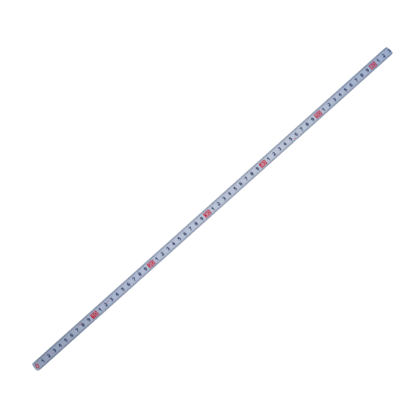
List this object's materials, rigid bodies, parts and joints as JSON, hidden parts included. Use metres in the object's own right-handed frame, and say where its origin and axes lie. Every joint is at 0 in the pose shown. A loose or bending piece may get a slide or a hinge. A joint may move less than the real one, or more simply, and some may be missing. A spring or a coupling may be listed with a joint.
{
  "type": "graduated measuring rod",
  "caption": "Flat painted steel strip printed with a centimetre and millimetre scale, for a levelling rod's face or as a straight measuring rod.",
  "frame": {"origin": "on the back face, under the zero line, midway between the long edges", "axes": "+X along the scale towards rising readings, +Y across the strip towards the top of the numerals, +Z out of the printed face"},
  "size_m": [0.6375, 0.013, 0.0003],
  "materials": {
    "spring_steel": "slit and cut bare edges, satin",
    "pale_paint": "baked enamel under clear varnish, semi-gloss",
    "dark_ink": "printed ink under clear varnish",
    "red_ink": "printed ink under clear varnish"
  },
  "bodies": {
    "root": {"steel_blade": "spring_steel", "front_paint": "pale_paint", "back_paint": "pale_paint", "mm_lines_upper": "dark_ink", "mm_lines_lower": "dark_ink", "half_cm_lines_upper": "dark_ink", "half_cm_lines_lower": "dark_ink", "cm_lines_upper": "dark_ink", "cm_lines_lower": "dark_ink", "numerals_1_to_9": "dark_ink", "numerals_11_to_19": "dark_ink", "numerals_21_to_29": "dark_ink", "numerals_31_to_39": "dark_ink", "numerals_41_to_49": "dark_ink", "numerals_51_to_59": "dark_ink", "numerals_61_to_63": "dark_ink", "numeral_0": "red_ink", "red_block_10": "red_ink", "red_block_20": "red_ink", "red_block_30": "red_ink", "red_block_40": "red_ink", "red_block_50": "red_ink", "red_block_60": "red_ink", "diamond_455": "red_ink", "class_marks": "red_ink"}
  },
  "joints": []
}
